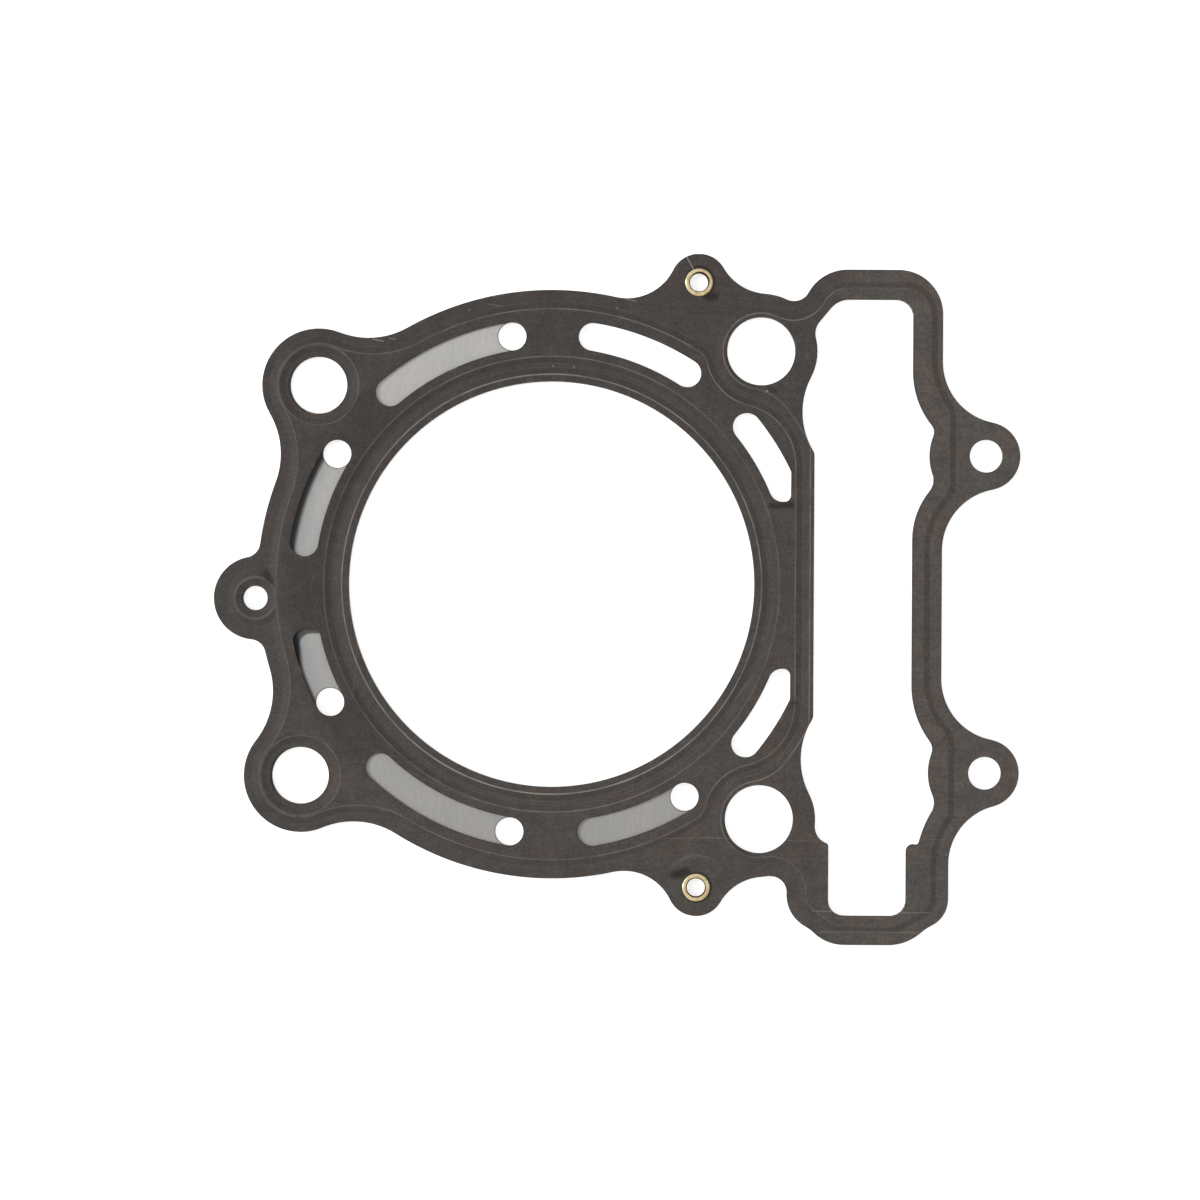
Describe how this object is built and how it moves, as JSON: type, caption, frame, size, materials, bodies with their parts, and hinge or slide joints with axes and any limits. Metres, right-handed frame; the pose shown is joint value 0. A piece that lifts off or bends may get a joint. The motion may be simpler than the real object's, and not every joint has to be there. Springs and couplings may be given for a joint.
{
  "type": "cylinder head gasket",
  "caption": "Layered steel gasket that seals the joint between a cylinder and its head round the bore, the coolant slots, the studs and a chain tunnel.",
  "frame": {"origin": "centre of the cylinder bore, in the middle of the core sheet's thickness", "axes": "+X points from the bore to the chain tunnel, +Y up in the picture, +Z out of the face that the picture shows"},
  "size_m": [0.1549, 0.1328, 0.0016],
  "materials": {
    "coated_steel": "dark grey-brown matt rubber coating on steel",
    "bare_steel": "bare, satin",
    "eyelet_brass": "pale, half polished"
  },
  "bodies": {
    "root": {"outer_sheet_top": "coated_steel", "core_sheet": "bare_steel", "outer_sheet_bottom": "coated_steel", "eyelet_upper": "eyelet_brass", "eyelet_lower": "eyelet_brass"}
  },
  "joints": []
}
